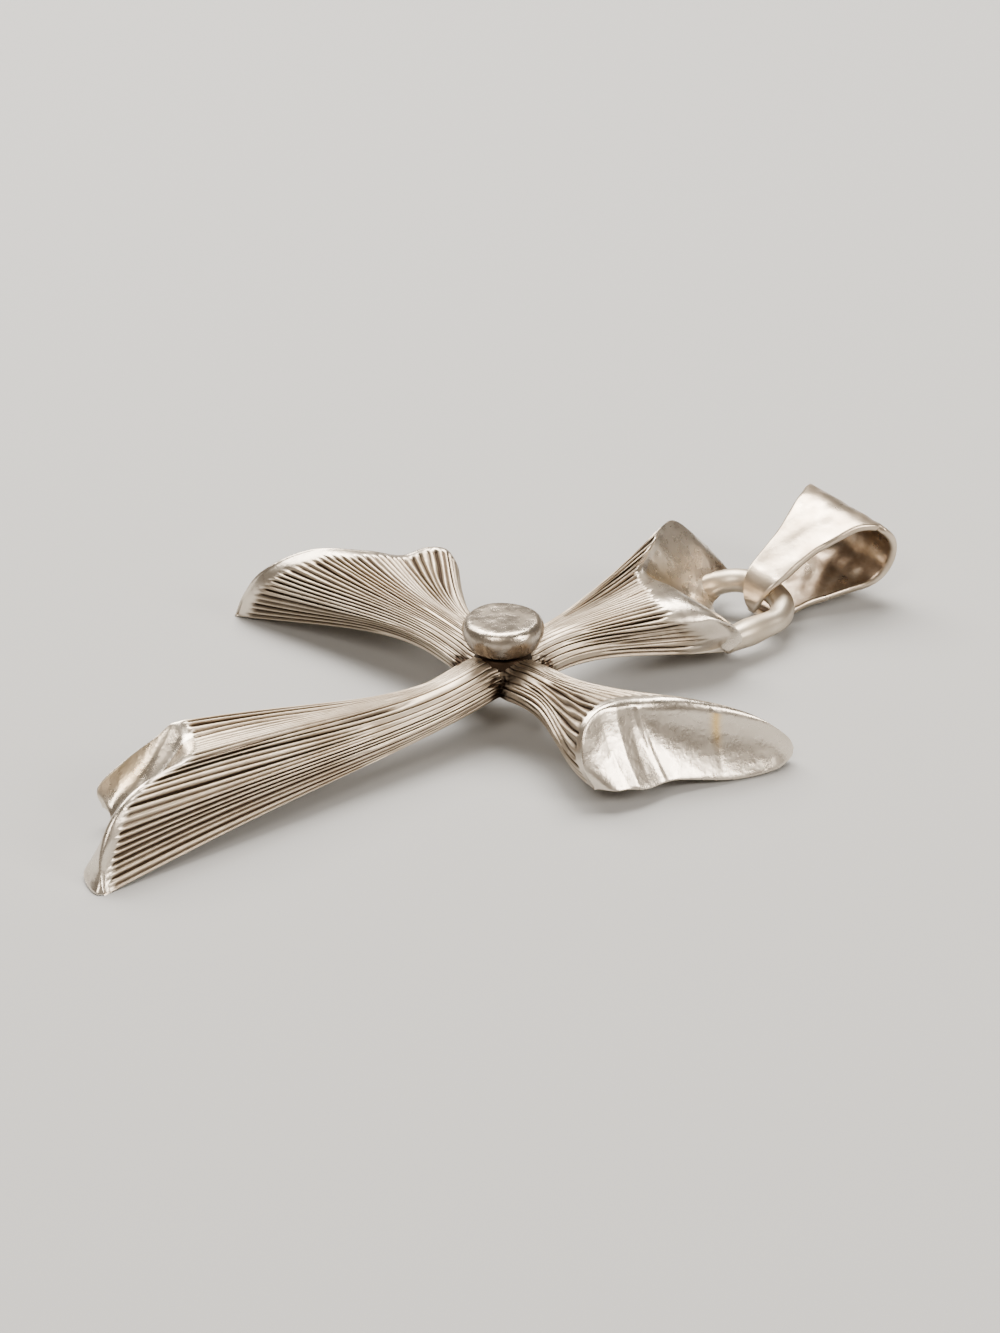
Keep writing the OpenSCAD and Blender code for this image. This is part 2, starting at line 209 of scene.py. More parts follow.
BOTTOM_END = [
    [0.00, -0.755, 0.86, 0.20, -0.755, 0.86, 0.20],
    [0.10, -0.80, 0.865, 0.43, -0.65, 0.86, 0.17],
    [0.20, -0.785, 0.805, 0.62, -0.58, 0.87, 0.135],
    [0.29, -0.735, 0.735, 0.79, -0.50, 0.885, 0.115],
    [0.37, -0.70, 0.695, 0.90, -0.435, 0.90, 0.095],
    [0.45, -0.49, 0.70, 0.79, -0.37, 0.915, 0.095],
    [0.54, -0.12, 0.77, 0.90, -0.32, 0.94, 0.08],
    [0.70, -0.04, 0.895, 0.83, -0.22, 0.97, 0.055],
    [0.78, 0.04, 0.95, 0.70, -0.14, 0.995, 0.03],
    [0.86, 0.11, 0.98, 0.48, 0.01, 1.01, 0.00],
    [0.94, 0.14, 0.99, 0.22, 0.19, 1.015, 0.00],
    [1.00, 0.24, 1.00, 0.00, 0.24, 1.00, 0.00],
]
# The rims were filed by hand. Columns, in millimetres after the first: around, width of the smooth
# margin between the flutes and the rounded rim, and how far the rim is rounded
RIGHT_RIM = [[0, 0.6, 0.15], [0.3, 0.35, 0.15], [0.42, 0.35, 0.35], [0.55, 0.4, 0.75], [0.74, 0.4, 0.75],
             [0.88, 0.5, 0.4], [1, 0.5, 0.25]]
TOP_RIM = [[0, 2.4, 0.5], [0.1, 2.4, 1.0], [0.22, 1.6, 1.5], [0.36, 1.2, 1.3], [0.48, 0.9, 0.7],
           [0.6, 0.4, 0.3], [0.74, 0.3, 0.25], [1, 0.3, 0.25]]
LEFT_RIM = [[0, 0.25, 0.15], [0.3, 0.25, 0.25], [0.44, 0.5, 0.3], [0.54, 0.7, 0.4], [0.68, 1.1, 0.45],
            [0.83, 1.1, 0.45], [0.93, 1.0, 0.3], [1, 1.1, 0.1]]
BOTTOM_RIM = [[0, 0.5, 0.15], [0.3, 0.5, 0.2], [0.45, 0.3, 0.3], [0.56, 0.3, 0.45], [0.7, 0.35, 0.7],
              [0.86, 0.4, 0.75], [0.94, 0.5, 0.35], [1, 0.6, 0.08]]
# Ridges that the wheel left on a polished face, and straw-coloured tarnish beside them. Columns:
# around at the upper rim, around at the lower rim, height in millimetres, half width, tarnish
RIGHT_FACETS = [[0.41, 0.31, 0.14, 0.06, 0], [0.475, 0.44, 0.05, 0.014, 0],
                [0.67, 0.6, 0.02, 0.013, 1]]
TOP_FACETS = [[0.55, 0.75, 0, 0.12, 0.45]]
LEFT_FACETS = []
BOTTOM_FACETS = [[0.2, 0.3, 0.03, 0.1, 0.5]]

# high and low: shares of a fibre's length between which it spreads, on the side of the high lobe and
# on the other; rise: the same for its height; sag: how far it dips near the hub, or arches where this
# is below 0, as a share of CREST
ARMS = [
    dict(name="arm_right", turn=0, reach=14.9, fan=12.4, high=(0.3, 0.9), low=(0.1, 1.5),
         rise=(0.2, 1.2), sag=-0.04, flutes=29, end=RIGHT_END, rim=RIGHT_RIM, facets=RIGHT_FACETS),
    dict(name="arm_top", turn=90, reach=18.1, fan=10, high=(0.05, 1.5), low=(0.05, 1.5),
         rise=(0, 1.5), sag=-0.04, flutes=34, end=TOP_END, rim=TOP_RIM, facets=TOP_FACETS),
    dict(name="arm_left", turn=180, reach=18.5, fan=9.8, high=(0.15, 1.6), low=(0.15, 1.6),
         rise=(0.1, 1.6), sag=-0.06, flutes=42, end=LEFT_END, rim=LEFT_RIM, facets=LEFT_FACETS),
    dict(name="arm_bottom", turn=270, reach=27.4, fan=5.8, high=(0.05, 1.6), low=(0.05, 1.6),
         rise=(0, 1.5), sag=0.1, flutes=38, end=BOTTOM_END, rim=BOTTOM_RIM, facets=BOTTOM_FACETS),
]
# The hub: half its width, heights at the middle of a neck and at the corner between two necks, the
# share of a neck's outline that is a corner, and how far the arms run on under the stud
NECK = 1.75
NECK_LOW = 1.5
CORNER_LOW = 2.45
CORNER_HIGH = 3.0
NECK_HIGH = 3.95
CORNER_SHARE = 1 / 12
HUB_OVERLAP = 1.4
# A fibre is a little longer than the line between its ends. Its dip t(1 - t)^3 is at most 1 / 9.48
FIBRE_SLACK = 1.06
DIP_SCALE = 9.48
# The flutes: their depth, at most a share of their spacing, the share of that spacing which follows
# the outline of the end, and how far they wander from it in long and in short waves
FLUTE_DEPTH = 0.2
DEPTH_SHARE = 0.6
EVEN = 0.7
LONG_WANDER = 0.3
SHORT_WANDER = 0.14
# Each groove has its own strength, and its own end at the margin. Every second one opens at a place
# of its own, over this share of the fibre
GROOVE_POWER = 0.95
STRENGTH = (0.6, 1.0)
START = (0.0, 0.34)
OPENING = 0.14
RAGGED = (0.7, 1.3)
# A groove fades out this far into the margin, over this share of it and a little more. Where a fibre
# runs nearly along the rim, its slant to it counts as this at least
FADE_FROM = 0.55
FADE_OVER = 0.4
FADE_LEAST = 0.1
LEAST_SLANT = 0.15
# The rims: how deep the file cut the margin, as a share of its width, how far it cut a corner back,
# as a share, and how round the lower edge is. A rounded edge takes at most these shares of the face
FILED = 0.13
BEVEL = 0.4
FOOT_ROUND = 0.2
LIP_MOST = 0.35
SILL_MOST = 0.3
# The face: how hollow it is, how blunt the ends of a ridge are, and where the straw colour runs out
SCOOP = 0.35
RIDGE_POWER = 0.4
STRAW_END = 0.75
STRAW_FADE = 0.4
# The chisel left the corners rough round the stud: depth, radius and width of the rough ring, and
# width of each corner. The rest is less uneven, and only from a 20th inside each side. The corners
# and the ring are painted dark too: painted shade of the stud, with grime mottled into the corners.
# Then the mean darkness in the corners, and in the ring
CHISEL = 0.06
ROUGH_RADIUS = 2.45
ROUGH_WIDTH = 0.6
VALLEY_WIDTH = 0.8
UNEVEN = 0.02
STILL_SIDES = 20
CORNER_GRIME_AND_SHADE = 0.6
RING_SHADE = 0.25
# How bright the margin and the underside are rubbed, where a rim is 1, and where in the margin the
# rubbing starts and over what share of it
MARGIN_POLISH = 0.8
UNDER_POLISH = 0.3
RUB_FROM = 0.4
RUB_OVER = 0.6
# Points across an arm, then along its skin, its rounded edges, its face and its underside
ACROSS = 440
UPPER = 116
EDGE = 12
FACE = 24
UNDER = 22
# Steps at a fibre's end that give its heading, the first arm's seed, and how many sines make a random
# wave, with about the height that they reach together
HEADING_STEPS = 5
FIRST_SEED = 11
WAVES = 7
WAVE_PEAK = 3
LEAST_PACE = 0.3


def smooth(x):
    """Rises from 0 to 1 over 0 to 1, level at both ends: three times the square less twice the cube."""
    x = np.clip(x, 0, 1)
    return x * x * (3 - 2 * x)


def curve_through(rows, places):
    """Smooth curve through a table's rows, whose first column is the place: cubic pieces whose
    slope at a row is that of the line between its two neighbours."""
    rows = np.asarray(rows, float)
    at = rows[:, 0]
    before = np.maximum(np.arange(len(rows)) - 1, 0)
    after = np.minimum(np.arange(len(rows)) + 1, len(rows) - 1)
    slope = (rows[after] - rows[before]) / (at[after] - at[before])[:, None]
    k = np.clip(np.searchsorted(at, places, side="right") - 1, 0, len(rows) - 2)
    h = (at[k + 1] - at[k])[:, None]
    t = (places[:, None] - at[k][:, None]) / h
    return (
        (2 * t**3 - 3 * t**2 + 1) * rows[k]
        + (t**3 - 2 * t**2 + t) * h * slope[k]
        + (3 * t**2 - 2 * t**3) * rows[k + 1]
        + (t**3 - t**2) * h * slope[k + 1]
    )[:, 1:]


def done(t, start, full):
    """Share of a change that is done at t: the smooth rise from its start to the place where it is
    full, over the value of that rise at the end of the fibre."""
    return smooth((t - start) / (full - start)) / smooth((1 - start) / (full - start))


def neck_lines(f):
    """Upper and lower points of a neck at share f of the way round: up a corner, over the crown
    and down the other corner above, and a shallow belly below."""
    up = np.clip(np.minimum(f, 1 - f) / CORNER_SHARE, 0, 1)
    over = np.clip((f - CORNER_SHARE) / (1 - 2 * CORNER_SHARE), 0, 1)
    crown = (NECK_HIGH - CORNER_HIGH) * np.sin(np.pi * over)
    wide = np.full_like(f, NECK)
    top = CORNER_LOW + (CORNER_HIGH - CORNER_LOW) * up + crown
    belly = CORNER_LOW - (CORNER_LOW - NECK_LOW) * np.sin(np.pi * f)
    upper = np.stack([NECK * (2 * over - 1), wide, top], axis=-1)
    lower = np.stack([NECK * (2 * f - 1), wide, belly], axis=-1)
    return upper, lower


def fibres(arm, f, start, end, t):
    """Points on the fibres f at the shares t of their length: from start to end, where the width and
    the height change by smooth shares and the reach evenly. The whole dips near the hub."""
    f = f[:, None]
    (high_start, high_full), (low_start, low_full) = arm["high"], arm["low"]
    flare = done(t, high_start * (1 - f) + low_start * f, high_full * (1 - f) + low_full * f)
    rise = done(t, *arm["rise"])
    sag = arm["sag"] * CREST * DIP_SCALE * np.maximum(t, 0) * (1 - t) ** 3
    start, end = start[:, None], end[:, None]
    points = start + (end - start) * np.stack([flare, t, rise], axis=-1)
    points[..., 2] -= sag
    return points


def waver(seed, f, t, across, along):
    """Random wave over a grid, about -1 to 1: a sum of products of a sine across and a sine along,
    each of random phase. Across and along are the most waves across and half waves along. It
    repeats after 1 in f, so that it closes round a turned piece."""
    draw = np.random.default_rng(seed)
    total = 0
    for _ in range(WAVES):
        a = np.ceil(draw.uniform(LEAST_PACE, 1) * across)
        b = draw.uniform(LEAST_PACE, 1) * along
        one, two = draw.uniform(0, 2 * np.pi, 2)
        total = total + np.sin(a * f * 2 * np.pi + one) * np.sin(b * t * np.pi + two)
    return total / WAVE_PEAK


def flute_field(arm, seed, f, t, spread, to_edge, margin):
    """How deep the surface lies in a groove, 0 on a ridge to 1 at the bottom: 1 less the sine of the
    distance to the nearest whole number of the phase. The phase wavers and follows the spread of
    the end. Every second groove runs out before it reaches the neck, and all fade into the smooth
    margin along the rim."""
    draw = np.random.default_rng(seed)
    count = arm["flutes"]
    calm = np.clip(np.minimum(f, 1 - f) * count / 2, 0, 1)
    bend = LONG_WANDER * waver(seed, f, t, 5, 2.5) + SHORT_WANDER * waver(seed + 50, f, t, 22, 5)
    phase = spread * count - 0.5 + calm * bend
    groove = np.rint(phase).astype(int)
    shape = (1 - np.sin(np.pi * np.abs(phase - groove))) ** GROOVE_POWER
    index = np.clip(groove, 0, count - 1)
    strength = draw.uniform(*STRENGTH, count)[index]
    start = draw.uniform(*START, count)[index]
    opens = np.where(index % 2 == 1, smooth((t - start) / OPENING), 1)
    ragged = draw.uniform(*RAGGED, count)[index]
    past_margin = (to_edge - FADE_FROM * margin * ragged) / (FADE_OVER * margin + FADE_LEAST)
    return shape * strength * opens * smooth(past_margin)


def outward(points):
    """Unit normals of a grid of points, rows across and columns along: the step across times the
    step along, as a cross product, over its length."""
    normal = np.cross(np.gradient(points, axis=0), np.gradient(points, axis=1))
    return normal / np.maximum(np.linalg.norm(normal, axis=-1, keepdims=True), 1e-9)


def turned(arm, points):
    """Points as across, reach and height, turned by the arm's angle about the hub's upright axis."""
    angle = np.radians(arm["turn"])
    across, reach, height = np.moveaxis(points, -1, 0)
    x = reach * np.cos(angle) - across * np.sin(angle)
    y = reach * np.sin(angle) + across * np.cos(angle)
    return np.stack([x, y, height], axis=-1)


def rounded(before, corner, after):
    """Filed edge: a curve of the second degree from one point to the other, whose control point is
    the corner, moved by the share BEVEL towards the middle of the two."""
    corner = corner + BEVEL * ((before + after) / 2 - corner)
    u = np.linspace(0, 1, EDGE)[1:-1][None, :, None]
    return (1 - u) ** 2 * before[:, None] + 2 * u * (1 - u) * corner[:, None] + u**2 * after[:, None]


def strip(fine, coarse):
    """Triangles between two rows of point numbers, of which the first has more: each step of one row
    joins the point of the other row that lies opposite its middle."""
    m, n = len(fine) - 1, len(coarse) - 1
    i, j = np.arange(m), np.arange(n)
    opposite_fine = coarse[np.floor((i + 0.5) * n / m + 0.5).astype(int)]
    opposite_coarse = fine[np.ceil((j + 0.5) * m / n - 0.5).astype(int)]
    wide = np.stack([fine[i], fine[i + 1], opposite_fine], axis=-1)
    thin = np.stack([coarse[j], opposite_coarse, coarse[j + 1]], axis=-1)
    return np.concatenate([wide, thin])


def arm_shape(arm, seed):
    """Points, faces and point values of one arm. Each fibre runs out along the flutes, round the
    rim, down the hollow face, round its lower edge and back under the arm to the hub."""
    f = np.linspace(0, 1, ACROSS + 1)
    column = f[:, None]
    ends = curve_through(arm["end"], f)
    scale = np.array([arm["fan"], arm["reach"], CREST])
    upper_end, lower_end = ends[:, :3] * scale, ends[:, 3:] * scale
    upper_end[:, 2] = np.maximum(upper_end[:, 2], 0)
    lower_end[:, 2] = np.maximum(lower_end[:, 2], 0)
    upper_neck, lower_neck = neck_lines(f)
    margin, rim_round = curve_through(arm["rim"], f).T[:, :, None]
    length = np.linalg.norm(upper_end - upper_neck, axis=-1, keepdims=True) * FIBRE_SLACK
    inward = (HUB_OVERLAP / (upper_end[:, 1] - NECK))[:, None]

    t = -inward + (1 - rim_round / length + inward) * np.linspace(0, 1, UPPER)
    plain = fibres(arm, f, upper_neck, upper_end, t)
    heading = plain[:, -1] - plain[:, -1 - HEADING_STEPS]
    rim_line = np.gradient(upper_end, axis=0)
    cross = np.linalg.norm(np.cross(heading, rim_line), axis=-1)
    both = np.linalg.norm(heading, axis=-1) * np.linalg.norm(rim_line, axis=-1)
    slant = np.clip(cross / np.maximum(both, 1e-9), LEAST_SLANT, 1)[:, None]
    to_edge = ((1 - t) * length - rim_round) * slant
    pace = np.hypot(*np.gradient(upper_end[:, [0, 2]], axis=0).T)
    spread = (1 - EVEN) * f + EVEN * (np.cumsum(pace) - pace[0]) / (np.sum(pace) - pace[0])
    depth = flute_field(arm, seed, column, t, spread[:, None], to_edge, margin)
    pitch = np.linalg.norm(np.gradient(plain, spread, axis=0), axis=-1) / arm["flutes"]
    still = np.minimum(np.minimum(column, 1 - column) * STILL_SIDES, 1)
    off_valley = np.abs(plain[..., 1] - np.abs(plain[..., 0]))
    from_middle = np.hypot(plain[..., 0], plain[..., 1])
    near_hub = np.exp(-((from_middle - ROUGH_RADIUS) / ROUGH_WIDTH) ** 2)
    valley = near_hub * np.exp(-((off_valley / VALLEY_WIDTH) ** 2))
    lift = UNEVEN * waver(seed + 9, column, t, 9, 6) * still
    lift += CHISEL * valley * still * waver(seed + 20, column, t, 24, 60)
    lift -= np.minimum(FLUTE_DEPTH, DEPTH_SHARE * pitch) * depth
    lift -= FILED * margin * np.clip(1 - to_edge / margin, 0, 1) ** 2
    skin = plain + lift[..., None] * outward(plain)

    tall = np.maximum(np.linalg.norm(lower_end - upper_end, axis=-1, keepdims=True), 1e-6)
    lip = np.minimum(rim_round / tall, LIP_MOST)
    sill = np.minimum(FOOT_ROUND / tall, SILL_MOST)
    v = lip + (1 - lip - sill) * np.linspace(0, 1, FACE)
    face = upper_end[:, None] + (lower_end - upper_end)[:, None] * v[..., None]
    hollow = SCOOP * np.sin(np.pi * column) * np.sin(np.pi * v)
    straw = np.zeros_like(v)
    for at_top, at_foot, height, width, tarnish in arm["facets"]:
        near = np.abs(column - at_top - (at_foot - at_top) * v) / width
        hollow -= height * np.clip(1 - near, 0, 1) * np.sin(np.pi * v) ** RIDGE_POWER
        fading = smooth((STRAW_END - v) / STRAW_FADE)
        straw = np.maximum(straw, tarnish * fading * np.exp(-(near**2)))
    face[..., 1] -= hollow

    low_edge = FOOT_ROUND / length
    low_t = (1 - low_edge) - (1 - low_edge + inward) * np.linspace(0, 1, UNDER)
    under = fibres(arm, f, lower_neck, lower_end, low_t)
    rim = rounded(skin[:, -1], upper_end, face[:, 0])
    foot = rounded(face[:, -1], lower_end, under[:, 0])
    grid = np.concatenate([skin, rim, face, foot, under], axis=1)
    number = np.arange(grid.shape[0] * grid.shape[1]).reshape(grid.shape[:2])

    outside = number[:, : -UNDER + 1]
    underside = number[1:-1, -UNDER:]
    faces = []
    for block in (outside, underside):
        quads = np.stack([block[:-1, :-1], block[:-1, 1:], block[1:, 1:], block[1:, :-1]], axis=-1)
        faces += quads.reshape(-1, 4).tolist()
    faces += strip(number[0, :UPPER][::-1], number[1, -UNDER:]).tolist()
    faces += strip(number[-1, :UPPER][::-1], number[-2, -UNDER:]).tolist()
    inner_top, inner_low = number[:, 0], number[:, -1]
    low_row = np.concatenate([inner_top[:1], inner_low[1:-1], inner_top[-1:]])
    faces += np.stack([inner_top[:-1], inner_top[1:], low_row[1:], low_row[:-1]], axis=-1).tolist()

    # Painted shade of the stud, with mottled grime: the corners between the necks and a ring just
    # outside the stud are darkened.
    corner_mottle = np.clip(CORNER_GRIME_AND_SHADE + CORNER_GRIME_AND_SHADE * waver(seed + 30, column, t, 20, 60), 0, 1)
    hub_grime_and_shade = valley * corner_mottle + RING_SHADE * near_hub
    rubbed = 1 - smooth((to_edge - RUB_FROM * margin) / (RUB_OVER * margin + FADE_LEAST))
    bare = np.zeros((len(f), EDGE - 2))
    below = np.zeros((len(f), UNDER))
    values = {
        # The groove value holds the flutes' dark patina and, near the hub, the painted shade of the
        # stud.
        "groove": np.concatenate([np.maximum(depth, hub_grime_and_shade), bare, 0 * v, bare, below], axis=1),
        "polish": np.concatenate(
            [MARGIN_POLISH * rubbed, bare + 1, 0 * v + 1, bare + 1, below + UNDER_POLISH], axis=1),
        "tarnish": np.concatenate([0 * depth, bare, straw, bare, below], axis=1),
    }
    return turned(arm, grid).reshape(-1, 3), faces, values


arm_pieces = []
for seed, arm in enumerate(ARMS, FIRST_SEED):
    points, faces, values = arm_shape(arm, seed)
    arm_pieces.append(mesh_object(arm["name"], points, faces, values))

# Silver of 925 parts, cast, which went dark with sulphur and was rubbed bright where a cloth reaches.
# The eye sees a warm, satin metal with brown-black lines in it, and mirrors along the filed rims.
# Clouds are 2.2 mm across, mottling 0.7 mm and grain 0.2 mm. The real grain of a casting is finer,
# and is drawn as coarse as it needs to show. Flutes are black from two thirds of their depth, and
# rough, and a rim is half as rough; the mottling adds some of its own.
CLOUDS = 450
MOTTLING = 1500
GRAINS = 5200
silver, shader = new_material("cast silver, aged in its flutes")
groove = node(silver, "ShaderNodeAttribute", attribute_name="groove").outputs["Fac"]
polish = node(silver, "ShaderNodeAttribute", attribute_name="polish").outputs["Fac"]
tarnish = node(silver, "ShaderNodeAttribute", attribute_name="tarnish").outputs["Fac"]
place = node(silver, "ShaderNodeTexCoord").outputs["Object"]
cloud = node(silver, "ShaderNodeTexNoise", {
    "Vector": place, "Scale": CLOUDS, "Detail": 6}).outputs["Fac"]
mottle = node(silver, "ShaderNodeTexNoise", {
    "Vector": place, "Scale": MOTTLING, "Detail": 5}).outputs["Fac"]
grain = node(silver, "ShaderNodeTexNoise", {
    "Vector": place, "Scale": GRAINS, "Detail": 4}).outputs["Fac"]
warm = node(silver, "ShaderNodeMixRGB", {
    "Fac": cloud, "Color1": colour("#D6CAB9"), "Color2": colour("#9A8871")}).outputs["Color"]
warm = node(silver, "ShaderNodeMixRGB", {
    "Fac": polish, "Color1": warm, "Color2": colour("#DCD2C4")}).outputs["Color"]
straw = node(silver, "ShaderNodeMixRGB", {
    "Fac": tarnish, "Color1": warm, "Color2": colour("#E8C88C")}).outputs["Color"]
# The groove value turns to the same dark brown for the flutes' patina and for the painted shade round
# the stud and on the hub's seat.
dark = node(silver, "ShaderNodeMath", {0: groove, 1: 1.5}, operation="MULTIPLY", use_clamp=True)
darkened = node(silver, "ShaderNodeMixRGB", {
    "Fac": dark.outputs[0], "Color1": straw, "Color2": colour("#33281F")}).outputs["Color"]
rough = node(silver, "ShaderNodeMapRange", {
    "Value": polish, "To Min": 0.34, "To Max": 0.17}).outputs[0]
rougher = node(silver, "ShaderNodeMath", {0: mottle, 1: 0.22, 2: rough}, operation="MULTIPLY_ADD")
dents = node(silver, "ShaderNodeBump", {"Height": mottle, "Strength": 0.45, "Distance": 0.00008})
bump = node(silver, "ShaderNodeBump", {
    "Height": grain, "Strength": 0.25, "Distance": 0.00003, "Normal": dents.outputs[0]})
feed(silver, shader, {
    "Metallic": 1, "Base Color": darkened, "Roughness": rougher.outputs[0], "Normal": bump.outputs[0]})
for piece in arm_pieces:
    piece.data.materials.append(silver)
    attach(piece, "cross")
    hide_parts("cross")

# The hub. A low seat of the same casting, where the four necks meet under the stud. It was left
# rough, and it is painted nearly black all over: painted shade in the gap under the stud.
SEAT_ROWS = 24
SEAT_STEPS = 160
# Heights of its top and underside, and radii of the hole for the shank and of its edge
SEAT_TOP = 4.04
SEAT_UNDER = 2.5
SEAT_HOLE = 0.66
SEAT_EDGE = 1.6
# Its edge drops away from this radius on, by more at the necks' corners than at their middles
DROP_FROM = 1.35
DROP_OVER = 0.4
DROP = 0.5
DROP_WAVE = 0.2
# How dark its painted shade is, where the bottom of a flute is 1
SEAT_SHADE = 0.9
turn = np.linspace(0, 2 * np.pi, SEAT_STEPS, endpoint=False)
reach = np.linspace(SEAT_HOLE, SEAT_EDGE, SEAT_ROWS)[:, None] + 0 * turn
drop = (DROP - DROP_WAVE * np.cos(4 * turn)) * smooth((reach - DROP_FROM) / DROP_OVER)
ring = np.stack([reach * np.cos(turn), reach * np.sin(turn), SEAT_TOP - drop], axis=-1)
low = ring[::-1].copy()
low[..., 2] = SEAT_UNDER
hub = surface("hub", np.concatenate([ring, low]), wrap_across=True, wrap_along=True,
              attributes={"groove": np.full((2 * SEAT_ROWS, SEAT_STEPS), SEAT_SHADE),
                          "polish": np.zeros((2 * SEAT_ROWS, SEAT_STEPS))})
hub.data.materials.append(silver)
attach(hub, "cross")
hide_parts("cross")

# The stud. A turned silver button, flat on top, rubbed round at its edge and narrower at its foot,
# on a dark open seam. Its shank runs down a hole in the hub, out of sight.
# Columns: share of the way round the profile, radius, height
STUD_PROFILE = [
    [0.00, 0.00, 6.00], [0.12, 0.90, 6.00], [0.25, 1.72, 6.00], [0.31, 1.97, 5.92], [0.37, 2.14, 5.74],
    [0.44, 2.25, 5.42], [0.52, 2.22, 5.12], [0.62, 2.09, 4.76], [0.69, 1.98, 4.54], [0.74, 1.85, 4.43],
    [0.80, 1.50, 4.40], [0.88, 1.30, 4.34], [0.94, 1.30, 4.12], [1.00, 1.25, 4.10],
]
STUD_SHANK = [[0.6, 4.1], [0.6, 1.52], [0.0, 1.5]]
STUD_TURNS = 180
STUD_ROWS = 100
# Wear: how uneven its radius is, as a share, and how deep its dents are. They start at this height
# and reach their full depth this much above it, and this far from the middle. The darker side
# starts below its own height in the same way
WORN_SHARE = 0.008
DENTED = 0.03
DENTED_ABOVE = 5
DENTED_OVER = 0.6
DENTED_RADIUS = 1.8
SIDE_BELOW = 5.6
SIDE_OVER = 0.4
shares = np.linspace(0, 1, STUD_ROWS)
radius, height = curve_through(STUD_PROFILE, shares).T[:, :, None]
turn = np.linspace(0, 2 * np.pi, STUD_TURNS, endpoint=False)
wear = waver(80, turn / (2 * np.pi), shares[:, None], 4, 5)
wide = np.maximum(radius, 0) * (1 + WORN_SHARE * wear)
dented = smooth((height - DENTED_ABOVE) / DENTED_OVER) * smooth(radius / DENTED_RADIUS)
tall = height + DENTED * wear * dented
shell = np.stack([wide * np.cos(turn), wide * np.sin(turn), tall], axis=-1)
shank_radius, shank_height = np.array(STUD_SHANK).T[:, :, None]
shank = np.stack([
    shank_radius * np.cos(turn),
    shank_radius * np.sin(turn),
    shank_height + 0 * turn,
], axis=-1)
on_side = smooth((SIDE_BELOW - tall) / SIDE_OVER)
stud = surface("stud", np.concatenate([shell, shank]), wrap_across=True,
               attributes={"side": np.concatenate([on_side, np.ones(shank.shape[:2])])})
# Silver of 925 parts, turned and polished, then dented and scratched on its top by years of wear. The
# eye sees soft mirrors with fine lines in them, and a darker brown side below the rim. Clouds are
# 0.8 mm across, and scratches 0.2 mm wide and 1.4 mm long, wider than real ones so that they show.
WORN_CLOUDS = 1300
SCRATCHES = (5000, 700, 3000)
SCRATCH_TURN = 0.6
polished, shader = new_material("polished silver, scratched by wear")
place = node(polished, "ShaderNodeTexCoord").outputs["Object"]
on_side = node(polished, "ShaderNodeAttribute", attribute_name="side").outputs["Fac"]
cloud = node(polished, "ShaderNodeTexNoise", {
    "Vector": place, "Scale": WORN_CLOUDS, "Detail": 7}).outputs["Fac"]
fine = node(polished, "ShaderNodeMapping", {
    "Vector": place, "Rotation": (0, 0, SCRATCH_TURN), "Scale": SCRATCHES}).outputs[0]
scratch = node(polished, "ShaderNodeTexNoise", {"Vector": fine, "Scale": 1, "Detail": 3}).outputs["Fac"]
tone = node(polished, "ShaderNodeMixRGB", {
    "Fac": cloud, "Color1": colour("#DED5C9"), "Color2": colour("#958776")}).outputs["Color"]
# The side below the rim is darker brown, in clouds.
side_darkening = node(polished, "ShaderNodeMath", {0: on_side, 1: cloud}, operation="MULTIPLY").outputs[0]
tone = node(polished, "ShaderNodeMixRGB", {
    "Fac": side_darkening, "Color1": tone, "Color2": colour("#5E4C3B")}).outputs["Color"]
rough = node(polished, "ShaderNodeMath", {0: cloud, 1: 0.3, 2: 0.12}, operation="MULTIPLY_ADD")
dents = node(polished, "ShaderNodeBump", {"Height": cloud, "Strength": 0.5, "Distance": 0.00012})
bump = node(polished, "ShaderNodeBump", {
    "Height": scratch, "Strength": 0.3, "Distance": 0.00004, "Normal": dents.outputs[0]})
feed(polished, shader, {
    "Metallic": 1, "Base Color": tone, "Roughness": rough.outputs[0], "Normal": bump.outputs[0]})
stud.data.materials.append(polished)
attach(stud, "cross")
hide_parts("centre_stud")

# The loop. Round silver wire, bent to a U and soldered by its two legs to the lobes of the top arm,
# the left side a little higher. The solder shows as a soft swelling on the right leg. The left one is
# short: it bends inwards and down, and ends inside the corner of the far lobe.
# In millimetres: the wire's radius, the radius of its bend, the bend's middle and the right leg
WIRE = 0.7
LOOP_RADIUS = 2.35
LOOP_MIDDLE = np.array([1.4, 16.8, 1.85])
LOOP_TILT = np.radians(9)
RIGHT_LEG = 3.62
# The round part goes on for 140 degrees, and the left leg follows a cubic curve by four points
ROUND_PART = 0.7778 * np.pi
LEFT_LEG = np.array([[-1.80, 1.51, 0], [-2.31, 0.90, 0], [-2.9, 0.72, -0.6], [-3.45, 0.35, -1.1]])
# The swelling and its place and width along the wire, and how uneven the wire is, as shares
SWELLING = 0.16
SWELLING_PLACE = 0.10
SWELLING_WIDTH = 0.05
WIRE_UNEVEN = 0.018
ROUND_STEPS = 80
LEG_STEPS = 24
WIRE_TURNS = 40


def tilted(points):
    """Points about the middle of the loop, turned about its length by the loop's tilt, which lifts
    the left side, and then moved to the loop's place."""
    x, y, z = np.moveaxis(points, -1, 0)
    level = x * np.cos(LOOP_TILT) + z * np.sin(LOOP_TILT)
    lifted = z * np.cos(LOOP_TILT) - x * np.sin(LOOP_TILT)
    return np.stack([level, y, lifted], axis=-1) + LOOP_MIDDLE


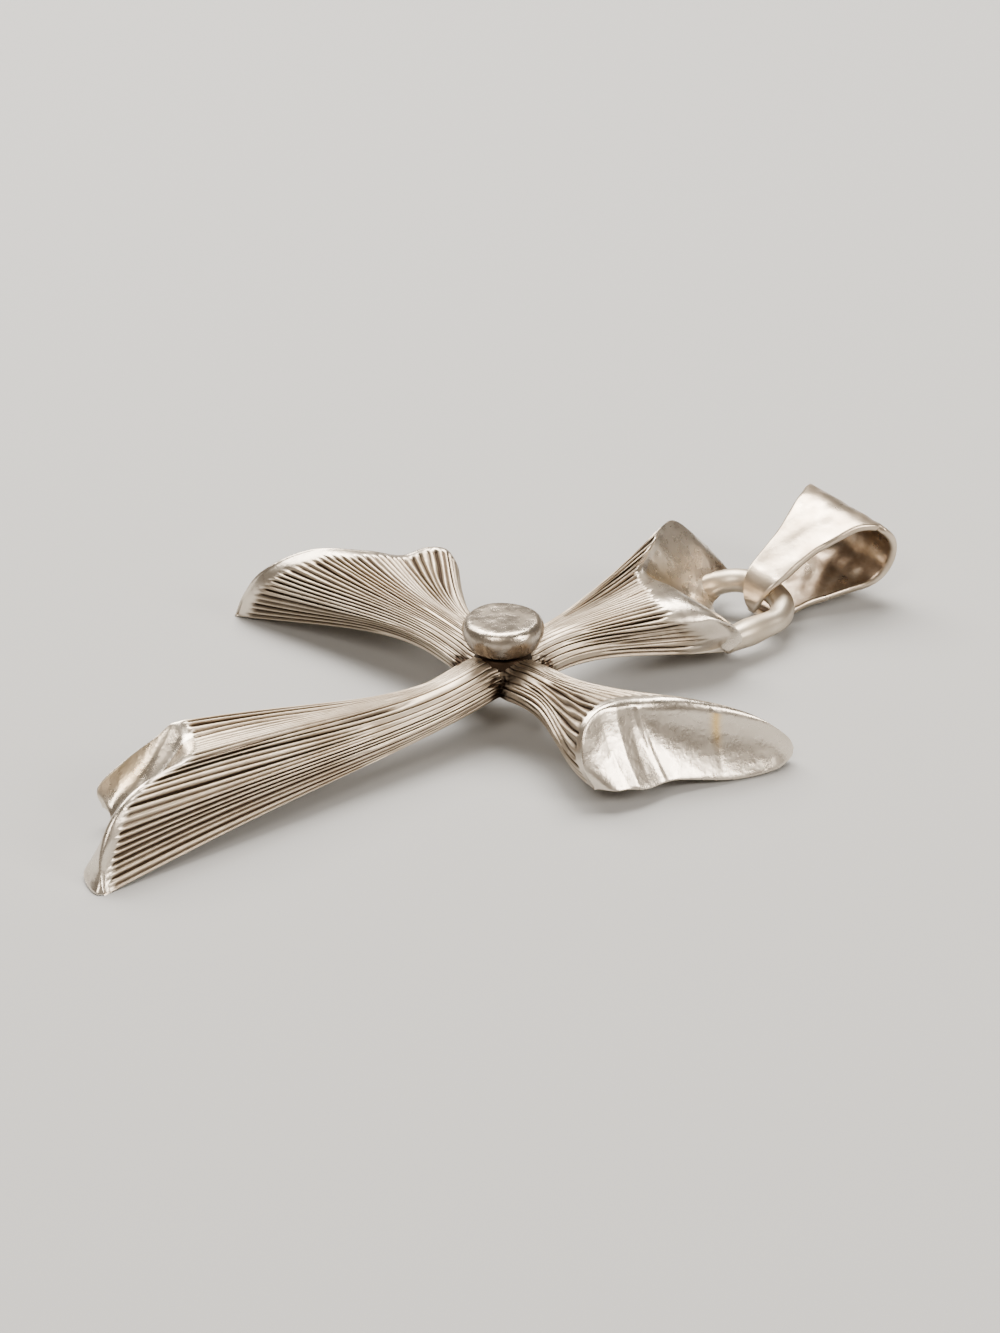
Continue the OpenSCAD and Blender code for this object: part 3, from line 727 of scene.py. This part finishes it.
bend = np.linspace(0, ROUND_PART, ROUND_STEPS)
right_leg = np.linspace(-RIGHT_LEG, 0, LEG_STEPS)[:-1]
right_leg = np.stack([0 * right_leg + LOOP_RADIUS, right_leg, 0 * right_leg], axis=-1)
arc = np.stack([LOOP_RADIUS * np.cos(bend), LOOP_RADIUS * np.sin(bend), 0 * bend], axis=-1)
u = np.linspace(0, 1, LEG_STEPS)[1:, None]
one, two, three, four = LEFT_LEG
left_leg = (1 - u) ** 3 * one + 3 * u * (1 - u) ** 2 * two + 3 * u**2 * (1 - u) * three + u**3 * four
path = np.concatenate([right_leg, arc, left_leg])
ahead = np.gradient(path, axis=0)
ahead /= np.linalg.norm(ahead, axis=-1, keepdims=True)
outer = np.cross(ahead, [0, 0, 1])
outer /= np.linalg.norm(outer, axis=-1, keepdims=True)
upper = np.cross(outer, ahead)
along = np.linspace(0, 1, len(path))[:, None]
turn = np.linspace(0, 2 * np.pi, WIRE_TURNS, endpoint=False)
swell = SWELLING * np.exp(-(((along - SWELLING_PLACE) / SWELLING_WIDTH) ** 2))
thick = WIRE * (1 + swell + WIRE_UNEVEN * waver(90, turn / (2 * np.pi), along, 3, 14))
thick[[0, -1]] = 0
round_it = outer[:, None] * np.cos(turn)[:, None] + upper[:, None] * np.sin(turn)[:, None]
wire = path[:, None] + thick[..., None] * round_it
loop = surface("loop", tilted(wire), wrap_across=True)
# Drawn silver wire, rubbed by the bail. It has no polish, so it gives the eye a soft pale highlight
# along its length and no mirrors. Clouds are 1.7 mm across.
WIRE_CLOUDS = 600
wire_silver, shader = new_material("silver wire, satin from wear")
place = node(wire_silver, "ShaderNodeTexCoord").outputs["Object"]
cloud = node(wire_silver, "ShaderNodeTexNoise", {
    "Vector": place, "Scale": WIRE_CLOUDS, "Detail": 5}).outputs["Fac"]
tone = node(wire_silver, "ShaderNodeMixRGB", {
    "Fac": cloud, "Color1": colour("#E6DCCD"), "Color2": colour("#A99A84")}).outputs["Color"]
rough = node(wire_silver, "ShaderNodeMath", {0: cloud, 1: 0.3, 2: 0.28}, operation="MULTIPLY_ADD")
feed(wire_silver, shader, {"Metallic": 1, "Base Color": tone, "Roughness": rough.outputs[0]})
loop.data.materials.append(wire_silver)
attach(loop, "cross")
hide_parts("cross")

# The bail. A leaf of sheet silver, folded over so that its two narrow tips meet inside the loop and
# its wide fold leaves an eye for the chain. It is polished outside and tarnished in patches inside.
# In millimetres: the sheet's thickness, the radius inside it round the wire, which leaves 0.5 to the
# wire, the fold's middle past and above the wire, the fold's height outside, the greatest width, and
# the radius of the edges. The whole bail is turned a little to the left
SHEET = 0.45
BAIL_INSIDE = 1.2
BAIL_RUN = 5.0
BAIL_RISE = 1.45
BAIL_HEIGHT = 4.7
BAIL_WIDTH = 6.8
EDGE_ROUND = 0.12
BAIL_TURN = np.radians(5)
LEAF_STEPS = 360
LEAF_ACROSS = 40
FLANK_STEPS = 40
FOLD_STEPS = 160
# Columns: share of the length from the narrow end, share of half the width
LEAF = [[0.00, 0.30], [0.03, 0.33], [0.08, 0.345], [0.17, 0.36], [0.30, 0.39], [0.42, 0.44],
        [0.56, 0.565], [0.70, 0.68], [0.85, 0.85], [1.00, 1.00]]
WIDEST_AT = 0.9999
# Angle in radians by which the seam of the two tips lies below the point opposite the fold, and the
# shares of the leaf over which its lower and its upper tip draw in to a blunt end. The rounded edge
# leaves at least this share of the width
SEAM = 0.4
LOW_TIP = 0.08
HIGH_TIP = 0.17
BLUNT = 0.12
TIP_POWER = 0.8
LEAST_EDGE = 0.6
# One edge has a nick: its place and width along the leaf, as shares, its depth, and how close to the
# edge it stays
NICK_PLACE = 0.555
NICK_WIDTH = 0.008
NICK_DEPTH = 0.3
NICK_POWER = 6
# The sheet was hammered: depths of the long and the short dents, which stop over this share at each
# tip, and of the swell of the upper flank, with its place and width along the leaf
LONG_DENTS = 0.05
SHORT_DENTS = 0.025
STILL_TIPS = 0.1
CROWN = 0.2
CROWN_PLACE = 0.70
CROWN_WIDTH = 0.13
small = BAIL_INSIDE + SHEET
big = BAIL_HEIGHT / 2
lean = np.arctan2(BAIL_RISE, BAIL_RUN)
touch = np.pi / 2 - np.arcsin((big - small) / np.hypot(BAIL_RUN, BAIL_RISE))


def leaf_path(inset):
    """Side view of the leaf, drawn in by the inset: two arcs, about the wire and about the fold, and
    the straight lines that touch both. It goes from the tip under the wire along the lower flank,
    round the fold and back along the upper flank to the other tip, in even steps."""
    one = np.linspace(lean + np.pi + SEAM, lean + np.pi + touch, FLANK_STEPS)
    two = np.linspace(lean + np.pi + touch, lean + 3 * np.pi - touch, FOLD_STEPS)
    three = np.linspace(lean + np.pi - touch, lean + np.pi + SEAM, FLANK_STEPS)
    r, q = small - inset, big - inset
    y = np.concatenate([r * np.cos(one), BAIL_RUN + q * np.cos(two), r * np.cos(three)])
    z = np.concatenate([r * np.sin(one), BAIL_RISE + q * np.sin(two), r * np.sin(three)])
    run = np.concatenate([[0], np.cumsum(np.hypot(np.diff(y), np.diff(z)))])
    places = np.linspace(0, run[-1], LEAF_STEPS)
    return np.interp(places, run, y), np.interp(places, run, z)


def half_width(y):
    """Half the leaf's width at a distance past the wire: the curve through its outline table at that
    distance from the narrow end, as a share of the bail's length."""
    share = np.clip((y + small) / (small + BAIL_RUN + big), 0, WIDEST_AT)
    return np.maximum(curve_through(LEAF, share)[:, 0], 0) * BAIL_WIDTH / 2


def leaf_columns(share, x, narrower=0):
    """Columns of points at a share of the sheet's thickness, at x times half the leaf's width there
    less a little. Towards a tip the width falls along a rounded curve to the share BLUNT of it."""
    y = outer_y + (inner_y - outer_y) * share
    z = outer_z + (inner_z - outer_z) * share
    to_tip = np.clip(np.minimum(along / LOW_TIP, (1 - along) / HIGH_TIP)[:, 0], 0, 1)
    half = half_width(y) * (BLUNT + (1 - BLUNT) * (to_tip * (2 - to_tip)) ** TIP_POWER)
    half = np.maximum(half - narrower, LEAST_EDGE * half)
    x = np.atleast_1d(x)
    near = nick * np.clip(x, 0, 1) ** NICK_POWER
    flat = half[:, None] * x - near
    return np.stack([flat, y[:, None] + 0 * flat, z[:, None] + 0 * flat], axis=-1)


outer_y, outer_z = leaf_path(0)
inner_y, inner_z = leaf_path(SHEET)
along = np.linspace(0, 1, LEAF_STEPS)[:, None]
nick = NICK_DEPTH * np.exp(-(((along - NICK_PLACE) / NICK_WIDTH) ** 2))
x = np.linspace(-1, 1, LEAF_ACROSS)
outer_edge = EDGE_ROUND / SHEET
inner_edge = 1 - outer_edge
leaf = np.concatenate([
    leaf_columns(0, x, EDGE_ROUND),
    leaf_columns(outer_edge, 1),
    leaf_columns(inner_edge, 1),
    leaf_columns(1, x[::-1], EDGE_ROUND),
    leaf_columns(inner_edge, -1),
    leaf_columns(outer_edge, -1),
], axis=1)
crosswise = leaf[..., 0] / (BAIL_WIDTH / 2)
dent = LONG_DENTS * waver(95, crosswise / 2, along, 3, 9)
dent += SHORT_DENTS * waver(96, crosswise / 2, along, 7, 24)
crown = CROWN * np.exp(-(((along - CROWN_PLACE) / CROWN_WIDTH) ** 2)) * (1 - crosswise**2)
push = (dent + crown) * smooth((np.minimum(along, 1 - along) - STILL_TIPS) / STILL_TIPS)
away = np.stack([np.gradient(outer_z), -np.gradient(outer_y)], axis=-1)
away = away / np.linalg.norm(away, axis=-1, keepdims=True)
leaf[..., 1:] += push[..., None] * away[:, None]
leaf[..., 1] += LOOP_RADIUS
across, past, high = np.moveaxis(leaf, -1, 0)
leaf = np.stack([
    across * np.cos(BAIL_TURN) - past * np.sin(BAIL_TURN),
    across * np.sin(BAIL_TURN) + past * np.cos(BAIL_TURN),
    high,
], axis=-1)
inside = np.zeros(leaf.shape[:2])
inside[:, LEAF_ACROSS + 2:2 * LEAF_ACROSS + 2] = 1
bail = surface("bail_leaf", tilted(leaf), wrap_across=True, attributes={"inside": inside})
# Rolled sheet of 925 silver, hammered and polished by hand. Outside, the eye sees broad soft mirrors,
# and inside, where no cloth reaches, brown patches. Both follow clouds 1.4 mm across.
SHEET_CLOUDS = 700
sheet_silver, shader = new_material("sheet silver, tarnished inside")
place = node(sheet_silver, "ShaderNodeTexCoord").outputs["Object"]
inner = node(sheet_silver, "ShaderNodeAttribute", attribute_name="inside").outputs["Fac"]
cloud = node(sheet_silver, "ShaderNodeTexNoise", {
    "Vector": place, "Scale": SHEET_CLOUDS, "Detail": 7}).outputs["Fac"]
patch = node(sheet_silver, "ShaderNodeMapRange", {
    "Value": cloud, "From Min": 0.35, "From Max": 0.68}).outputs[0]
dull = node(sheet_silver, "ShaderNodeMath", {
    0: patch, 1: 0.5, 2: 0.4}, operation="MULTIPLY_ADD").outputs[0]
stain = node(sheet_silver, "ShaderNodeMath", {0: dull, 1: inner}, operation="MULTIPLY").outputs[0]
tone = node(sheet_silver, "ShaderNodeMixRGB", {
    "Fac": cloud, "Color1": colour("#E2D6C5"), "Color2": colour("#A6927A")}).outputs["Color"]
tone = node(sheet_silver, "ShaderNodeMixRGB", {
    "Fac": stain, "Color1": tone, "Color2": colour("#6B5846")}).outputs["Color"]
rough = node(sheet_silver, "ShaderNodeMath", {0: cloud, 1: 0.34, 2: 0.16}, operation="MULTIPLY_ADD")
bump = node(sheet_silver, "ShaderNodeBump", {"Height": cloud, "Strength": 0.35, "Distance": 0.00015})
feed(sheet_silver, shader, {
    "Metallic": 1, "Base Color": tone, "Roughness": rough.outputs[0], "Normal": bump.outputs[0]})
bail.data.materials.append(sheet_silver)
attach(bail, "bail")
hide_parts("bail")


# The light. A large soft panel overhead and a little behind, one at the left that the left arm's rim
# mirrors, one at the right that the right arm's face mirrors, a small one at the front, and a dim
# room that is lighter near the floor.
def panel(name, turn, tilt, distance, wide, power, tint):
    """Square soft light that faces the middle of the hub. Angles are in degrees, the distance and the
    width in millimetres and the power in watts."""
    lamp = bpy.data.lights.new(name, "AREA")
    lamp.shape = "SQUARE"
    lamp.size = wide * MM
    lamp.energy = power
    lamp.color = colour(tint)[:3]
    made = bpy.data.objects.new(name, lamp)
    bpy.context.scene.collection.objects.link(made)
    made.location = placed(from_direction(turn, tilt, distance))
    made.rotation_euler = np.radians([90 - tilt, 0, turn])


panel("overhead panel", 226, 64, 420, 250, 4.6, "#FFF8EE")
panel("left panel", 270, 47, 420, 210, 2.1, "#FFF8EE")
panel("right panel", 111, 32, 420, 150, 1.4, "#FFF6EA")
panel("front panel", 24, 46, 460, 170, 1.2, "#FFF4E6")
world = bpy.data.worlds.new("room")
bpy.context.scene.world = world
world.use_nodes = True
upwards = node(world, "ShaderNodeSeparateXYZ", {
    0: node(world, "ShaderNodeTexCoord").outputs["Generated"]}).outputs["Z"]
glow = node(world, "ShaderNodeMapRange", {
    "Value": upwards, "From Min": 0.2, "From Max": 0.9, "To Min": 0.58, "To Max": 0.12}).outputs[0]
feed(world, world.node_tree.nodes["Background"], {"Color": colour("#B9AEA2"), "Strength": glow})
